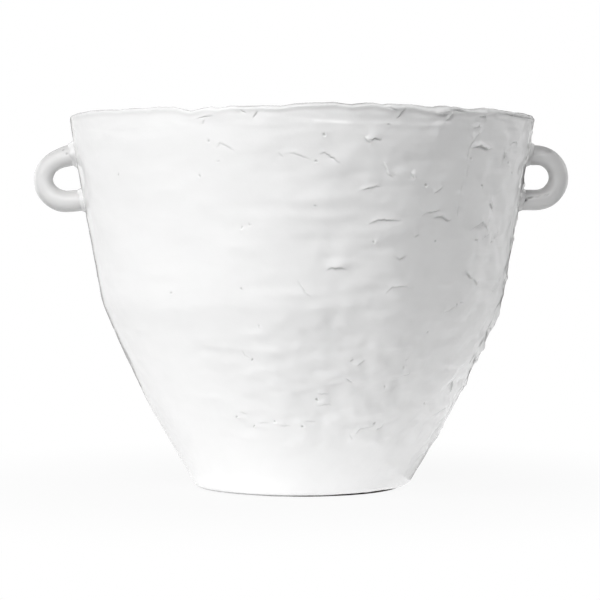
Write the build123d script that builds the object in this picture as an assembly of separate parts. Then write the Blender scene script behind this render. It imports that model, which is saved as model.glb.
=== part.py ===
"""A slab-built glazed cachepot: two coned wall sections on a floor slab, a pinched rim, two loop handles.

Millimetres, +Z up, the origin on the table under the middle of the pot. The handles lie along X.
Each piece of clay that the potter joined before the firing is a solid of its own.
"""

import os
from math import atan, cos, radians, sin, tan

from build123d import *

# Outside form of the pot
HEIGHT = 284.0  # table to the mean line of the lip
MOUTH_RADIUS = 177.5  # outside of the lip
BEND_RADIUS = 153.5  # outside, where the upper cone stands on the lower one
BEND_HEIGHT = 143.0
BEND_ROUND = 60.0  # soft turn between the two cones
BASE_RADIUS = 82.0  # where the line of the wall meets the underside of the floor
BASE_ROUND = 7.0  # paddled edge of the floor slab
LOWER_BULGE = 3.4  # how far the lower cone swells out from a straight line

# Clay thicknesses
WALL = 8.0
FLOOR = 10.0
LIP = 5.6  # the rim is pinched thinner than the wall

# Joint of the two wall sections: bevelled, so that the upper one laps the lower on the outside
BEVEL_ANGLE = 35.0

# Rim: a coil pinched on to the wall, with a wavering top
RIM_BAND = 16.0  # mean lip down to the seam of the coil
RIM_UPRIGHT = 9.0  # the last stretch below the lip stands upright
RIM_TURN = 22.0  # soft turn from the cone to that stretch
RIM_TONGUE = 4.0  # ridge of the wall that the coil straddles
RIM_SHOULDER = 1.6  # flat left each side of the ridge
SLIP = 0.05  # film of slip between the coil and the wall
LIP_ROUND = 2.2
WAVES = ((3, 1.1, 40.0), (7, 0.8, 115.0), (11, 0.6, 10.0))  # count round the rim, height, phase in degrees
WAVE_STEPS = 28  # sections drawn along half the rim

# Foot: a bare ring under the floor
FOOT_HEIGHT = 2.2
FOOT_OUTER_RADIUS = 75.5
FOOT_WIDTH = 15.0
FOOT_EASE = 0.8  # worn edges

# Coil pressed into the corner inside, between the floor and the wall
SEAM_COIL = 9.0
SEAM_HOLLOW = 1.8  # how far its face is thumbed in

# Handles: rolled coils bent to a loop, and the collars that lute them to the wall
COIL = 15.4  # thickness of the rolled coil
GAP_HEIGHT = 18.4  # finger gap
LOOP_REACH = 31.4  # wall at the upper root to the outside of the loop
HANDLE_BELOW_LIP = 64.0  # mean lip down to the middle of the lower limb
LOOP_STRAIGHT = 2.0  # straight stretch at the back of the loop
HANDLE_DROOP = {"left": 4.5, "right": 0.0}  # drop of the upper limb from its root to the bend
COLLAR_SPREAD = 3.4  # how far a collar spreads on the wall around the coil
COLLAR_CLIMB = 4.4  # and how far it climbs the coil
COLLAR_EDGE = 0.7  # thickness left at its thin end
COLLAR_SWELL = 0.7  # how far its face swells out from a straight cone

# Worked out from the values above
FULL_TURN = 360.0
HALF_TURN = FULL_TURN / 2
FLOOR_TOP = FOOT_HEIGHT + FLOOR
RIM_SEAM = HEIGHT - RIM_BAND
CONE_TOP = HEIGHT - RIM_UPRIGHT
CONE_SLOPE = (MOUTH_RADIUS - BEND_RADIUS) / (CONE_TOP - BEND_HEIGHT)
WAVE_REACH = sum(height for _, height, _ in WAVES)
SPARE = 3 * WALL  # length by which a cutting shape runs on past what it cuts
LOWER_LIMB = HEIGHT - HANDLE_BELOW_LIP
UPPER_LIMB = LOWER_LIMB + GAP_HEIGHT + COIL
LIMBS = {"upper": UPPER_LIMB, "lower": LOWER_LIMB}
SIDES = {"left": -1, "right": 1}


def turned(section):
    """A section drawn with radius along X and height along Y, turned about the pot's axis."""
    return revolve(Plane.XZ * section, Axis.Z, FULL_TURN).solid()


def corner_at(face, point):
    """The corner of a face that lies at a point."""
    return face.vertices().sort_by_distance(point)[:1]


def band(low, high):
    """Everything right of the axis between two heights, as a section to intersect with."""
    return Pos(0, low) * Rectangle(2 * MOUTH_RADIUS, high - low, align=(Align.MIN, Align.MIN))


def pot_form():
    """Section of the whole outside, run on past the axis, the underside and the lip."""
    base = Vector(BASE_RADIUS, FOOT_HEIGHT)
    bend = Vector(BEND_RADIUS, BEND_HEIGHT)
    mouth = Vector(MOUTH_RADIUS, CONE_TOP)
    top = Vector(MOUTH_RADIUS, HEIGHT + WAVE_REACH + SPARE)
    swell = SagittaArc(base, bend, -LOWER_BULGE)
    below = base - (swell % 0) * SPARE
    back = Polyline(top, (-SPARE, top.Y), (-SPARE, below.Y), below, base)
    form = make_face(swell + Polyline(bend, mouth, top) + back)
    form = fillet(corner_at(form, bend), BEND_ROUND)
    upright_to_spare = RIM_UPRIGHT - WAVE_REACH - 2 * LIP_ROUND
    widest_turn = upright_to_spare / tan(abs(atan(CONE_SLOPE)) / 2)
    return fillet(corner_at(form, mouth), min(RIM_TURN, widest_turn))


FORM = pot_form()
HOLLOW = offset(FORM, -WALL)
SHELL = FORM - HOLLOW


def wall_sections():
    """Sections of the lower and upper wall, parted by the bevelled joint at the bend."""
    wall = SHELL & band(FLOOR_TOP, RIM_SEAM)
    lean = radians(BEVEL_ANGLE)
    joint = Plane(origin=(BEND_RADIUS, BEND_HEIGHT, 0), z_dir=(sin(lean), cos(lean), 0))
    return split(wall, bisect_by=joint, keep=Keep.BOTTOM), split(wall, bisect_by=joint, keep=Keep.TOP)


def edge_at_height(section, height):
    """Inner and outer end of the level edge that a section has at a height."""
    level = min(section.edges(), key=lambda edge: abs(edge.center().Y - height))
    return sorted((level @ 0, level @ 1), key=lambda point: point.X)


LOWER, UPPER = wall_sections()
RIM_INSIDE, RIM_OUTSIDE = edge_at_height(UPPER, RIM_SEAM)
CORNER, _ = edge_at_height(LOWER, FLOOR_TOP)


def rim_tongue():
    """The ridge along the top of the wall, which keys the rim coil."""
    ridge = (RIM_INSIDE + RIM_OUTSIDE) / 2 + Vector(0, RIM_TONGUE)
    shoulder = Vector(RIM_SHOULDER, 0)
    return make_face(Polyline(RIM_INSIDE + shoulder, RIM_OUTSIDE - shoulder, ridge, close=True))


def wave(angle):
    """Height of the lip above its mean line at an angle round the rim, in degrees."""
    return sum(height * sin(radians(count * angle + phase)) for count, height, phase in WAVES)


def rim_section(angle):
    """Section of the rim at an angle: straddles the ridge of the wall and thins towards a rounded lip."""
    lean = Vector(MOUTH_RADIUS - LIP, HEIGHT) - RIM_INSIDE
    pinch = Plane(origin=RIM_INSIDE, z_dir=(lean.Y, -lean.X, 0))
    strip = SHELL & band(RIM_SEAM + SLIP, HEIGHT + wave(angle))
    section = split(strip, bisect_by=pinch, keep=Keep.TOP) - Pos(0, SLIP) * rim_tongue()
    lip_corners = section.vertices().group_by(Axis.Y)[-1]
    return Rot(0, 0, angle) * (Plane.XZ * fillet(lip_corners, min(LIP_ROUND, 0.4 * LIP)))


def half_rim(start):
    """Half a turn of the rim, from an angle."""
    return loft([rim_section(start + HALF_TURN * i / WAVE_STEPS) for i in range(WAVE_STEPS + 1)])


def rim_coil():
    """The rim, its lip wavering all the way round."""
    return (half_rim(0) + half_rim(HALF_TURN)).solid()


def floor_slab():
    """The disc that the wall stands on, with its lower edge paddled round."""
    section = FORM & band(FOOT_HEIGHT, FLOOR_TOP)
    return turned(fillet(corner_at(section, Vector(BASE_RADIUS, FOOT_HEIGHT)), BASE_ROUND))


def foot_ring():
    """The bare ring that the pot stands on."""
    inner = FOOT_OUTER_RADIUS - FOOT_WIDTH
    section = Pos(inner, 0) * Rectangle(FOOT_WIDTH, FOOT_HEIGHT, align=(Align.MIN, Align.MIN))
    return turned(fillet(section.vertices().group_by(Axis.Y)[0], FOOT_EASE))


def floor_seam_coil():
    """The coil thumbed into the corner between floor and wall."""
    wall_line = LOWER.edges().sort_by_distance(CORNER + Vector(0, SEAM_COIL))[0]
    start = wall_line.position_at(0) if (wall_line @ 0 - CORNER).length < WALL else wall_line.position_at(1)
    along = wall_line % 0.5 * (1 if start == wall_line.position_at(0) else -1)
    on_floor = CORNER - Vector(SEAM_COIL, 0)
    on_wall = CORNER + along * SEAM_COIL
    face = SagittaArc(on_floor, on_wall, SEAM_HOLLOW)
    behind = Vector(WALL, 0)
    section = make_face(face + Polyline(on_wall, on_wall + behind, CORNER + behind, on_floor))
    return turned(section & HOLLOW)


def limb_root(height):
    """The point in the XZ plane where a limb at a height meets the outside of the wall."""
    return Vector(BEND_RADIUS + (height - BEND_HEIGHT) * CONE_SLOPE, 0, height)


def handle_line(droop):
    """Middle line of a loop on the +X side, from inside the wall, out, down and back in."""
    back = limb_root(UPPER_LIMB).X + LOOP_REACH - COIL / 2
    inwards = Vector(-WALL, 0, 0)
    bend_high = Vector(back, 0, UPPER_LIMB - droop)
    bend_low = Vector(back, 0, LOWER_LIMB)
    loop_round = (bend_high.Z - bend_low.Z - LOOP_STRAIGHT) / 2
    root_high = limb_root(UPPER_LIMB) + inwards
    root_low = limb_root(LOWER_LIMB) + inwards
    return FilletPolyline(root_high, bend_high, bend_low, root_low, radius=loop_round)


def handle_coil(droop):
    """A bent coil on the +X side, its ends still inside the wall."""
    line = handle_line(droop)
    start = Plane(origin=line @ 0, z_dir=line % 0)
    return sweep(start * Circle(COIL / 2), path=line).solid()


def collar(height):
    """A pad of clay round the root of a limb on the +X side, square to the wall and still solid."""
    thin = Vector(COIL / 2 + COLLAR_EDGE, COLLAR_CLIMB)
    thick = Vector(COIL / 2 + COLLAR_SPREAD, 0)
    rest = Polyline(thin, (0, COLLAR_CLIMB), (0, -WALL), thick - Vector(0, WALL), thick)
    section = make_face(SagittaArc(thick, thin, COLLAR_SWELL) + rest)
    pad = revolve(Plane.XZ * section, Axis.Z, FULL_TURN)
    seat = Plane(origin=limb_root(height), x_dir=(0, 1, 0), z_dir=(1, 0, -CONE_SLOPE))
    return (seat * pad).solid()


def handed(solid, side):
    """A solid drawn on the +X side, moved to its own side of the pot."""
    return solid if SIDES[side] > 0 else mirror(solid, about=Plane.YZ).solid()


def handles():
    """Both loops and their collars, each seated on the outside of the wall."""
    pot = turned(FORM & band(FOOT_HEIGHT, HEIGHT))
    pieces = {}
    for side, droop in HANDLE_DROOP.items():
        coil = handle_coil(droop)
        pieces[f"{side}_handle"] = handed((coil - pot).solid(), side)
        for limb, height in LIMBS.items():
            pieces[f"{side}_{limb}_collar"] = handed((collar(height) - pot - coil).solid(), side)
    return pieces


def all_pieces():
    """Every piece of the pot by name."""
    return {
        "foot_ring": foot_ring(),
        "floor_slab": floor_slab(),
        "floor_seam_coil": floor_seam_coil(),
        "lower_wall": turned(LOWER),
        "upper_wall": turned(UPPER + rim_tongue()),
        "rim_coil": rim_coil(),
        **handles(),
    }


os.makedirs("parts", exist_ok=True)
for name, piece in all_pieces().items():
    export_step(piece, f"parts/{name}.step")
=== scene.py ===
"""A white-glazed cachepot with two loop handles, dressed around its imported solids.

The wall is one glazed skin: a section line that is spun round the axis, refined where the clay is torn, and
raised and dented by a relief that follows the photograph at the front. Each piece of clay is its own closed
mesh.
"""

import random
from math import atan2, ceil, cos, pi, radians, sin, tau
from typing import NamedTuple

import bmesh
import bpy
import numpy as np
from mathutils import Matrix, Vector, noise


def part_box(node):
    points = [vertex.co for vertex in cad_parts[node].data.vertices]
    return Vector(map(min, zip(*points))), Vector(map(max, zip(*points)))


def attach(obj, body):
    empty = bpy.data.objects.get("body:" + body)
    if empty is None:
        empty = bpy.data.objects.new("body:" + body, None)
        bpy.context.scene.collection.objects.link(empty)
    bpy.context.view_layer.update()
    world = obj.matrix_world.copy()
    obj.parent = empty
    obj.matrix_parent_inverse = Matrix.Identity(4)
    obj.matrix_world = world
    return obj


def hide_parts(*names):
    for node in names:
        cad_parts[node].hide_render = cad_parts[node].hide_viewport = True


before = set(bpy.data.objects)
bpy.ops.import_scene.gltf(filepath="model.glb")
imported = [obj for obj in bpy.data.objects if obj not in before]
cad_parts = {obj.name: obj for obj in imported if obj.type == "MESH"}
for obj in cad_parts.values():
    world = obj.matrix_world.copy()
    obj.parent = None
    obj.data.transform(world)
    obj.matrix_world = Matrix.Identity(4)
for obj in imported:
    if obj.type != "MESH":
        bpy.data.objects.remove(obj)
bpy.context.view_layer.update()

bl_info = {
    "name": "Glazed cachepot",
    "version": (1, 0, 0),
    "blender": (4, 5, 0),
    "location": "View3D > Sidebar > Cachepot",
    "description": "Builds a slab-built, white-glazed cachepot and its studio",
    "category": "Add Mesh",
}

MM = 0.001

# Photograph: its frame, its lens and where the pot stands in it
IMAGE_SIDE = 600.0
AXIS_PIXEL = 302.0
HORIZON_PIXEL = 225.0
FOCAL_PIXELS = 2250.0
SENSOR = 36.0
CAMERA_DISTANCE = 1.731
CAMERA_HEIGHT = 0.2006


def mm_of(node, corner, axis):
    """One face of a node's box in millimetres: corner 0 is the low one, axis 0 to 2 is X to Z."""
    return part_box(node)[corner][axis] / MM


# Sizes that the solids give, in millimetres
UNDERSIDE = mm_of("floor_slab", 0, 2)
FLOOR_TOP = mm_of("floor_slab", 1, 2)
MOUTH = mm_of("rim_coil", 1, 0)
RIM_SEAM = mm_of("rim_coil", 0, 2)
LIP_TOP = 284.0
LIP = 5.6

# Section of the skin: radius, height and round of each corner, from under the floor, over the lip, to the
# floor inside
SECTION = (
    (0.0, UNDERSIDE, 0.0),
    (82.0, UNDERSIDE, 7.0),
    (123.8, 69.5, 830.0),
    (153.5, 143.0, 70.0),
    (174.6, 262.0, 70.0),
    (MOUTH, LIP_TOP, 2.4),
    (MOUTH - LIP, LIP_TOP, 2.0),
    (168.1, 268.0, 20.0),
    (145.8, 145.2, 60.0),
    (116.7, 73.1, 830.0),
    (83.3, 19.9, 3.0),
    (78.2, 13.0, 12.0),
    (69.6, FLOOR_TOP, 1.5),
    (0.0, FLOOR_TOP, 0.0),
)
LINE_STEP = 0.2

# Where the pieces of clay meet, on the skin or inside the wall
FLOOR_OUT = (87.6, FLOOR_TOP)
BEND_OUT = (153.2, 143.0)
BEND_IN = (146.3, 148.0)
RIM_OUT = (175.4, RIM_SEAM)
RIM_IN = (168.1, RIM_SEAM)
RIDGE = ((174.6, RIM_SEAM), (172.1, RIM_SEAM + 4.0), (169.7, RIM_SEAM))
COIL_TOP = (83.3, 19.9)
COIL_TOE = (69.6, FLOOR_TOP)
CORNER = (78.6, FLOOR_TOP)
AXIS_LOW = (0.0, UNDERSIDE)
AXIS_HIGH = (0.0, FLOOR_TOP)

UPRIGHT = (0, 0, 1)
SIDEWAYS = (1, 0, 0)
SPIN_STEPS = 64
SPIN_CUTS = 7
SKIN_STEP = 2.0
LIP_STEP = 0.5
INSIDE_STEP = 4.0

# Distances from a tear or pit within which the outside is split, one round each
REFINE_REACHES = (3.2, 1.9)

# Sizes of the materials' patterns in metres
CLOUD_SIZE = 0.045
PEEL_SIZE = 0.0028
GRIT_SIZE = 0.0012

NO_HOOK = (0, 0)


class Tear(NamedTuple):
    """A tear in the clay, in millimetres and degrees.

    Its angle is from the front, to the right, and a positive tilt rises to the right. It may have a hook
    before it and one after it, each with a length and a tilt.
    """

    angle: float
    height: float
    length: float
    tilt: float
    depth: float
    gape: float = 1.0
    before: tuple = NO_HOOK
    after: tuple = NO_HOOK


# Tears that show at the front
TEARS = (
    Tear(-17.5, 255, 11.5, -27, 0.30, before=(4.2, 48)),
    Tear(-5, 249, 5.5, -50, 0.26),
    Tear(0, 248, 12, -21, 0.36, before=(3.5, 2)),
    Tear(7, 247, 13, -34, 0.66, 1.1, before=(3.2, 18)),
    Tear(15, 259, 6, -46, 0.58, 1.1),
    Tear(17.5, 260, 4.5, -16, 0.85, 1.2, before=(3.4, 18)),
    Tear(20, 240, 9.5, -62, 0.28, 1.2, after=(4, -30)),
    Tear(27, 235, 5.5, -48, 0.55, 1.1),
    Tear(16, 226, 11, 17, 0.26, 1.1, after=(4.2, 0)),
    Tear(22, 204, 17, -2, 0.42, 1.2, before=(8, 24)),
    Tear(9, 170, 9.5, 0, 0.62, 1.6, before=(2.4, 24), after=(2.4, -22)),
    Tear(0, 157, 12, -56, 0.40, 1.2, after=(4, -35)),
    Tear(26, 157, 12, 2, 0.18, before=(6.5, 50), after=(5.5, -32)),
    Tear(25, 177, 4, -22, 0.5, 1.8, after=(5.5, 26)),
    Tear(30, 193, 4, 20, 0.60, 1.5),
    Tear(48, 256, 9.5, -16, 0.80, 1.1, before=(7.5, 14), after=(5.3, 8)),
    Tear(58, 252, 6.5, -72, 0.50, 1.1, after=(3, 40)),
    Tear(62, 261, 6, 12, 0.26, before=(4, 40), after=(4, -40)),
    Tear(83, 259, 5, 40, 0.40, after=(4, -50)),
    Tear(82, 252, 5, 30, 0.40, after=(4, -60)),
    Tear(35, 225, 8, 36, 0.36, 1.1),
    Tear(56, 214, 9, -34, 0.42, 1.1),
    Tear(38, 205, 7.5, -26, 0.72, 1.2, before=(6.7, 6), after=(3.5, 12)),
    Tear(34, 210, 13, 8, 0.30, before=(4, 30)),
    Tear(50, 200, 11, 32, 0.50, 1.1, after=(12, -28)),
    Tear(56, 193, 7.5, 30, 0.52, 1.1),
    Tear(51, 190, 4.5, 0, 0.62, 1.5),
    Tear(62, 192, 6, 55, 0.42),
    Tear(60, 188, 3.5, 8, 0.50, 1.2),
    Tear(49, 165, 9, -38, 0.46, 1.1, after=(3, -2)),
    Tear(53, 159, 9, -32, 0.42, 1.1),
    Tear(68, 154, 12, 42, 0.40),
    Tear(-17.5, 110, 4, -70, 0.24, after=(4.2, -30)),
    Tear(15, 89, 6.3, -37, 0.66, 1.3),
    Tear(18, 102, 6.7, 32, 0.42, 1.1),
    Tear(15, 104, 3, 36, 0.60, 1.4),
    Tear(25, 54, 11.5, 13, 0.42, before=(4.8, 54)),
    Tear(19, 47, 5, -62, 0.32),
    Tear(30.5, 52.5, 6, 8, 0.5, 1.3),
    Tear(33, 98, 4, -84, 0.50, 1.2),
    Tear(35, 92.5, 5.5, 12, 0.46, 1.2),
    Tear(33.5, 103.5, 3, 0, 0.28),
    Tear(63, 80, 10, -86, 0.30),
    Tear(45, 141, 15, 32, 0.36, after=(6, -5)),
    Tear(-21, 65, 5, -8, 0.24),
    Tear(-14, 58, 8, 4, 0.22),
    Tear(-6, 56, 8, -2, 0.28),
    Tear(3, 59, 8, -6, 0.36, 1.1),
    Tear(7, 79, 9, -6, 0.42, 1.2),
    Tear(7, 71, 9, 6, 0.30, 1.2, after=(3, -30)),
    Tear(64, 38, 14, 62, 0.70, 1.1, after=(5, 20)),
    Tear(69, 30, 10, 58, 0.60),
    Tear(-74, 252, 15, -58, 0.22, 1.2),
)

# Creases and flaps of the folded lip
LIP_CREASES = (
    Tear(-23, 273, 4.5, 58, 0.40, 1.1),
    Tear(-22.5, 277, 13, 5, 0.30, 1.2),
    Tear(-13.5, 280, 5.5, -38, 0.55, 1.1),
    Tear(-10.5, 277.5, 6, 50, 0.60, 1.3),
    Tear(20.5, 281, 11, -20, 0.45, 1.3),
    Tear(23, 278, 8.5, 52, 0.95, 1.3),
    Tear(33.5, 279.5, 13, -5, 0.45, 1.2),
    Tear(36, 277, 9, 46, 0.60, 1.2),
    Tear(38.5, 281.8, 13, -5, 0.60),
    Tear(46, 279, 6, 12, 0.60, 1.2, after=(3, -50)),
    Tear(65, 281.2, 84, 0, 0.62),
)

# Crumbs along the upright join of two slabs
JOIN_ANGLE = 43.5
JOIN_STEP = 0.7
JOIN_CRUMBS = (
    Tear(44.5, 270, 7, 30, 0.24, 1.2, after=(4, -70)),
    Tear(45.5, 265, 9, 38, 0.26, 1.2),
    Tear(44, 259, 9, 60, 0.20, 1.1),
    Tear(43, 250, 11, 76, 0.16, 1.1),
    Tear(43.5, 239, 10, 95, 0.12, 1.2),
    Tear(42.5, 226, 12, 80, 0.10, 1.2),
    Tear(42, 212, 12, 100, 0.10, 1.2),
)

# Small pits in the glaze at the front: angle, height and strength
PITS = (

    (-25, 235, 0.6), (-51, 237, 0.5), (-22, 259, 0.5), (-20, 245, 0.3), (-15, 199, 0.5), (-13, 201, 0.4),
    (-16, 156, 0.6), (-37, 152, 0.4), (5, 263, 0.6), (20, 270, 0.6), (3.2, 244.6, 0.6), (3, 214, 0.5),
    (18, 189, 0.7), (31, 229, 0.8), (50, 229, 0.8), (36, 189, 0.7), (61, 246, 0.5), (64, 239, 0.5),
    (-12, 129, 0.4), (-15, 105, 0.7), (-24, 62, 0.7), (-18, 55, 0.6), (-10, 59, 0.7), (0, 56, 1.0),
    (5, 75, 0.9), (28, 84, 0.6), (27.5, 56.5, 0.7), (48, 70, 0.6), (39, 123, 0.5), (44, 248, 0.5),
)

# Grit that a trowel dragged to the right: a ridge after each pit. Angle, height, length and rise
DRAGS = (

    (-24, 61.5, 9, 0.7), (-18, 54.5, 12, 0.6), (-10, 58, 8, 0.6), (0, 55, 10, 0.8), (5, 73.5, 10, 1.0),
    (15.5, 101, 6, 0.7), (28, 84, 7, 0.6), (18, 188.5, 5, 0.35), (50, 228, 7, 0.50), (31, 228, 6, 0.40),
)

# Thumb marks and lumps at the front: angle, height, half width, half height and rise. Those below the rim's
# band are raised further.
RIM_BAND = 272.0
THUMB_RISE = 1.6
THUMBED = (

    (-10.5, 276, 5, 3.5, -0.3), (13, 275, 8, 6, -0.2), (22.3, 276.5, 5, 3.5, -0.6),
    (21, 280.5, 5, 2.2, 1.3), (33.4, 281, 5.5, 1.9, 1.2), (36, 273, 7, 6, -0.35), (2, 275, 26, 6, -0.1),
    (28, 274, 8, 6, -0.15), (88, 284, 60, 3.0, -1.1), (-21, 279, 6, 2.5, 0.5), (-15, 282, 4, 2, 0.5),
    (46, 275, 10, 6, -0.3), (38.5, 279.8, 7, 1.4, 0.7), (3, 218, 26, 4, 0.4), (8, 186, 6, 12, -0.4),
    (24, 238, 6, 3, 0.4), (36, 180, 14, 5, 0.45), (11, 144, 16, 4, 0.4), (-14, 184, 14, 5, 0.3),
    (30, 129, 20, 9, 0.35), (9, 174, 9, 3.5, 0.3), (26, 151, 9, 7, 0.45), (41, 197, 9, 7, 0.4),
    (53, 191, 8, 5, 0.35), (27, 229, 14, 8, 0.35), (12, 232, 16, 9, -0.3), (4, 190, 14, 5, -0.35),
    (8, 131, 3, 7, -0.4), (11, 134, 4, 5, 0.35), (6, 176, 8, 5, -0.4), (33, 266, 3, 7, 0.5),
    (49, 243, 10, 8, 0.4), (48, 226, 9, 6, 0.4), (46, 215, 8, 7, 0.35), (57, 228, 10, 9, 0.35),
    (-8, 212, 30, 3.5, -0.25), (-2, 152, 22, 3, 0.3), (18, 212, 24, 3.5, -0.3), (20, 196, 20, 3, 0.3),
    (30, 200, 14, 3, -0.3),
)

# Strength of the lumps round the pot: angle and share. The left of the front is smoothest.
LUMP_ANGLES = (-180, -110, -80, -35, 0, 30, 60, 78, 92, 115, 180)
LUMP_SHARES = (1.0, 0.7, 0.3, 0.31, 0.62, 1.65, 1.9, 1.5, 0.8, 1.2, 1.0)

# How much rougher the lower wall is: angle and share
LOW_ANGLES = (-180, -45, -5, 10, 30, 70, 100, 180)
LOW_SHARES = (0.4, 0.1, 1.9, 1.9, 1.0, 0.5, 0.4, 0.4)

# How far the clay curls up over a tear: angle and share
CURL_ANGLES = (-180, -50, 0, 7, 15, 70, 100, 180)
CURL_SHARES = (1.2, 0.5, 0.6, 0.9, 2.2, 2.6, 1.6, 1.2)
CURL_START = 0.35
CURL_REACH = 2.8

# A tear's lifted edge, the length under which it lifts less, and how far the clay below it sinks
TEAR_LIFT = 1.2
SHORT_TEAR = 9.0
SUNK_REACH = 2.4

# How far from a pit's middle the skin changes, and how far apart the faint rings lie
PIT_REACH = 6.0
RING_SPACING = 6.4

# Trowelled patches: how crisp their borders are and how far they tilt sideways
FACET_CRISP = 5.0
FACET_ACROSS = 0.8

# Lip above its mean height at the front: angle and rise
LIP_FRONT = (

    (-90, -1.6), (-73, -1.2), (-62, -0.4), (-53, -0.3), (-48, -1.2), (-44, -0.7), (-38, -1.1),
    (-35, -0.5), (-31, -0.9), (-26.3, -3.6), (-21.3, -1.3), (-19.2, -2.6), (-16.4, -0.7), (-12, -1.0),
    (-9, -0.6), (-5, -1.3), (-1.8, 0.5), (4.5, 1.1), (7, 1.8), (11.3, 0.0), (14.6, 1.3), (16.4, 1.6),
    (18.4, 0.3), (23.3, 0.7), (25.3, 0.3), (29.5, -2.0), (31.7, -2.1), (35, -0.4), (38.7, -0.3),
    (42.6, -1.3), (50, -1.1), (56, -0.2), (67, -1.6), (76, -1.2), (90, -0.6),
)

# How far below the lip's top its waver starts and is whole
WAVER_START = 20.0
WAVER_WHOLE = 2.0

# How plump the lip's edge is: angle and share. It is sharp on the left of the front.
LIP_PLUMP_ANGLES = (-180, -95, -80, -30, -5, 180)
LIP_PLUMP_SHARES = (1.0, 0.6, 0.0, 0.1, 1.0, 1.0)

# How far the glaze hangs down over the foot: angle and drop
SAG_ANGLES = (-180, -110, -70, -15, 5, 25, 35, 70, 110, 180)
SAG_DROPS = (1.0, 1.4, 2.0, 1.8, 1.3, 0.5, 0.0, 0.0, 0.8, 1.0)

# Handles: distance from the axis, height and coil radius at knots of each loop's centre line, from the upper
# root
LOOPS = {
    "left": (
        (170.0, 255.6, 8.1), (177.3, 254.2, 7.9), (186.4, 251.7, 7.5), (194.1, 246.7, 7.2),
        (198.0, 239.8, 7.1), (198.6, 233.6, 7.1), (196.4, 227.4, 7.4), (191.0, 221.8, 7.9),
        (183.0, 219.0, 8.1), (174.0, 219.3, 8.1), (163.5, 220.2, 8.1),
    ),
    "right": (
        (170.0, 254.6, 8.3), (177.0, 254.2, 7.7), (184.0, 253.6, 7.2), (190.4, 250.6, 7.4),
        (195.3, 244.6, 7.6), (197.0, 237.0, 7.7), (195.2, 229.6, 7.7), (190.2, 223.4, 7.7),
        (183.0, 220.3, 7.7), (174.0, 219.8, 7.8), (163.5, 219.8, 7.9),
    ),
}

# How grey the handles' glaze is: less on the outer side as a painted highlight, more on the inner side as
# painted shade. Also how much greyer on top, as painted shade
HANDLE_GREY = 0.3
HANDLE_TOP_SHADE = 0.25
COIL_SIDES = 64
COIL_STEP = 0.9

# Pits and cracks on the front of the handles: side, distance from the axis, height, reach along and across,
# depth
HANDLE_MARKS = (

    (-1, 182.7, 258.4, 1.0, 0.8, 0.8), (-1, 180.0, 255.2, 1.3, 1.2, 0.6),
    (1, 171.0, 219.6, 1.6, 1.4, 1.0), (1, 174.5, 221.4, 3.4, 0.8, 0.7), (1, 181.0, 222.6, 3.8, 0.7, 0.5),
    (1, 187.0, 223.6, 3.0, 0.7, 0.5), (1, 184.0, 255.6, 6.0, 0.6, 0.3), (1, 187.5, 258.0, 3.0, 0.6, 0.35),
)

# Collars: side, height of the coil's middle, coil radius, spread over the wall, climb up the coil
COLLARS = {
    "left_upper_collar": (-1, 255.0, 8.0, 4.2, 4.6),
    "left_lower_collar": (-1, 219.8, 8.1, 3.4, 3.6),
    "right_upper_collar": (1, 254.4, 8.0, 3.6, 3.2),
    "right_lower_collar": (1, 219.8, 7.8, 3.4, 3.2),
}
COLLAR_STEPS = 72
COLLAR_THIN = 0.1

# Bare foot ring: its wear, the radius it is measured at, and radius and height of its section's corners
FOOT_WEAR = 0.5
FOOT_RADIUS = 70.0
FOOT_STEPS = 192
FOOT_SECTION = ((59.5, 2.8), (60.2, 0.5), (61.2, 0.0), (74.6, 0.0), (75.4, 0.6), (75.4, 2.8))

FLOOR_REACH = 8.0

# Studio lamps: name, place, what they face, diameter in metres, power in watts. The table lamps glow up from
# below.
LAMPS = (
    ("key", (-1.5, -1.3, 1.8), (0, 0, 0.15), 1.4, 48.5),
    ("front_fill", (0, -2.2, 1.7), (0, 0, 0.15), 1.0, 29.6),
    ("right_rim", (1.6, 0.8, 0.7), (0, 0, 0.15), 1.0, 13.9),
    ("left_rim", (-1.5, 1.0, 0.5), (0, 0, 0.15), 0.8, 7.6),
    ("table_right", (0.24, -0.05, 0.004), (0.24, -0.05, 1), 0.24, 0.125),
    ("table_left", (-0.22, -0.14, 0.004), (-0.22, -0.14, 1), 0.24, 0.134),
    ("table_front", (0, -0.30, 0.004), (0, -0.30, 1), 0.24, 0.085),
    ("table_under", (0.02, -0.05, 0.002), (0.02, -0.05, 1), 0.28, 0.130),
)

# Studio cards that only the glaze mirrors: name, place, what they face, width and height in metres,
# brightness. Those behind the pot and on the floor are darker than the surround and draw the edges. White
# ones behind the handles hide them there, and bright ones in front and to the right glint on what faces up.
CARDS = (
    ("card_left", (-0.185, 0.45, 0.25), (-0.185, 0, 0.25), 0.25, 0.5, 0.28),
    ("card_right", (0.185, 0.45, 0.25), (0.185, 0, 0.25), 0.25, 0.5, 0.02),
    ("card_far_right", (0.42, 0.45, 0.25), (0.42, 0, 0.25), 0.22, 0.5, 0.6),
    ("card_floor_right", (0.36, 0.35, 0.003), (0.36, 0.35, 1), 0.55, 0.9, 0.75),
    ("card_handle_left", (-0.219, 0.1, 0.24), (-0.219, 0, 0.24), 0.026, 0.08, 1.0),
    ("card_handle_right", (0.219, 0.1, 0.24), (0.219, 0, 0.24), 0.026, 0.08, 1.0),
    ("card_foot_right", (0.13, 0.02, 0.004), (0.13, 0.02, 1), 0.09, 0.2, 0.3),
    ("card_front", (-0.2, -1.8, 1.3), (0, 0, 0.2), 3.2, 1.6, 2.6),
    ("card_high_right", (1.8, -0.4, 1.3), (0, 0, 0.2), 2.4, 1.6, 2.6),
)

# Sides and back of the pot, drawn by lot: the seed, the counts and the angles between which the marks lie
LOT_SEED = 11
LOT_TEARS = 150
LOT_PITS = 120
LOT_ANGLES = (76, 282)


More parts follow.
